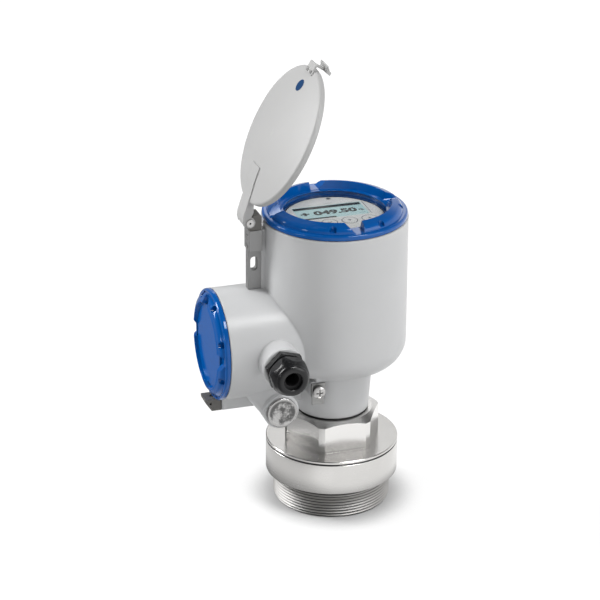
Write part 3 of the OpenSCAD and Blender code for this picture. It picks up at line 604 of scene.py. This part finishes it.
ROLL = 0.0082
eye = Vector((-0.5374, -1.5931, 0.9075))
ahead = Vector((0.2792, 0.8697, -0.4070)).normalized()
level = ahead.cross(Vector((0, 0, 1))).normalized()
right = level * math.cos(ROLL) + level.cross(ahead) * math.sin(ROLL)
camera = bpy.data.objects.new("camera", bpy.data.cameras.new("camera"))
camera.data.lens = 149.64
camera.data.sensor_width = 36
turn = Matrix((right, right.cross(ahead), -ahead)).transposed()
camera.matrix_world = Matrix.Translation(eye) @ turn.to_4x4()
bpy.context.scene.collection.objects.link(camera)
bpy.context.scene.camera = camera

# ---- Lamps ------------------------------------------------------------------
# A soft studio: a large lamp on the right, one above, a tall one on the left, a
# faint one behind and a small one for the gloss of the edges.


def lamp(name, place, target, size, power):
    """A flat soft lamp at a place, turned to face its target."""
    light = bpy.data.lights.new(name, "AREA")
    light.shape = "RECTANGLE"
    light.size, light.size_y = size
    light.energy = power
    made = bpy.data.objects.new(name, light)
    aim = (Vector(target) - Vector(place)).to_track_quat("-Z", "Y")
    made.matrix_world = Matrix.Translation(place) @ aim.to_matrix().to_4x4()
    bpy.context.scene.collection.objects.link(made)


centre, crown = (0, 0, 0.15), (0, 0, 0.22)
lamp("right", (0.86, -0.88, 0.67), centre, (0.8, 0.8), 4.7)
lamp("top", (0.50, -0.72, 1.58), centre, (0.6, 0.40), 11.5)
lamp("left", (-0.98, 0.58, 0.90), centre, (0.35, 0.9), 16)
lamp("back", (0.45, 1.40, 0.88), centre, (0.5, 0.25), 0.5)
lamp("edge", (-1.18, -0.48, 0.50), crown, (0.22, 0.14), 0.9)

# ---- Surroundings -----------------------------------------------------------
# White to the camera and through glass. Metal sees a studio that is bright near
# the horizon on the right, and dim overhead and on the left. The rest is a fill.

FILL = 0.42


def lit_side(east, north):
    """How far a direction or a place lies towards the bright side, from -1 to 1 or so."""
    return east * 0.75 - north * 0.35


def rays(flow):
    """Three values of 1 or 0: the ray comes from the camera, through glass, or off a gloss."""
    kinds = flow.node("ShaderNodeLightPath").socket.node.outputs
    return [Flow(flow.tree, kinds[kind]) for kind in (
        "Is Camera Ray", "Is Transmission Ray", "Is Glossy Ray")]


world = bpy.data.worlds.new("studio")
bpy.context.scene.world = world
world.use_nodes = True
sky = Flow(world.node_tree)
seen, through, mirrored = rays(sky)
east, north, rise = sky.node("ShaderNodeTexCoord", out="Generated").split()
dusk = rise.ease(0.30, 0.62, 1.0, 0.12)
bright_side = lit_side(east, north).ease(-0.60, 0.50, 0.20, 1.0)
white = seen.math("MAXIMUM", seen, through)
strength = white + (1 - white) * (mirrored * dusk * bright_side + (1 - mirrored) * FILL)
background = world.node_tree.nodes["Background"]
background.inputs["Color"].default_value = (1, 1, 1, 1)
world.node_tree.links.new(strength.socket, background.inputs["Strength"])

# ---- Floor ------------------------------------------------------------------
# White paper that keeps its shadow where the object stands, deepened by a painted
# shadow where the occlusion node finds the floor enclosed. Metal sees a painted
# reflection in it: dark under the thread, lighter close by and towards the bright side.

REACH = 6.0
floor_mesh = bpy.data.meshes.new("floor")
floor_mesh.from_pydata([(-REACH, -REACH, 0), (REACH, -REACH, 0), (REACH, REACH, 0),
                        (-REACH, REACH, 0)], [], [(0, 1, 2, 3)])
floor = bpy.data.objects.new("floor", floor_mesh)
bpy.context.scene.collection.objects.link(floor)
floor_paint = Finish("floor_paint", Roughness=0.7, Specular_IOR_Level=0.2)
paper = floor_paint.at.noise(40)
floor_paint.feed("Base Color", paper.shade((0.60, 0.60, 0.60), (0.64, 0.64, 0.64)))
tree = floor_paint.material.node_tree
seen, through, mirrored = rays(floor_paint.at)
x, y, _ = floor_paint.at.split()
near = x.reach(y)
open_floor = near.ease(0.050, 0.095)
bright_side = (lit_side(x, y) / near).ease(-0.60, 0.50)
close_by = near.ease(0.12, 0.17, 1.0, 0.0)
# Painted reflection: the floor's glow for metal, dark under the thread, lighter close by and
# towards the bright side.
painted_reflection_glow = open_floor * (bright_side * 0.96 + 0.15 + close_by * 0.55)
# Painted shadow: the white glow fades where the occlusion node finds the floor enclosed.
openness = floor_paint.at.node("ShaderNodeAmbientOcclusion", {"samples": 12},
                               {"Distance": 0.034}, out="AO")
clear = openness.ease(0.50, 0.93) * near.ease(0.45, 1.40, 0.66, 0.79)
glow = floor_paint.at.node("ShaderNodeEmission", inputs={
    "Color": (seen + through + mirrored * painted_reflection_glow).shade((0, 0, 0), (1, 1, 1)), "Strength": 1.25})
mixed = floor_paint.at.node("ShaderNodeMixShader", inputs={
    0: (seen + through) * clear + mirrored * 0.82,
    1: Flow(tree, floor_paint.shader.outputs[0]), 2: glow})
tree.links.new(mixed.socket, tree.nodes["Material Output"].inputs["Surface"])
floor_paint.on(floor)

bpy.context.scene.view_settings.view_transform = "Standard"
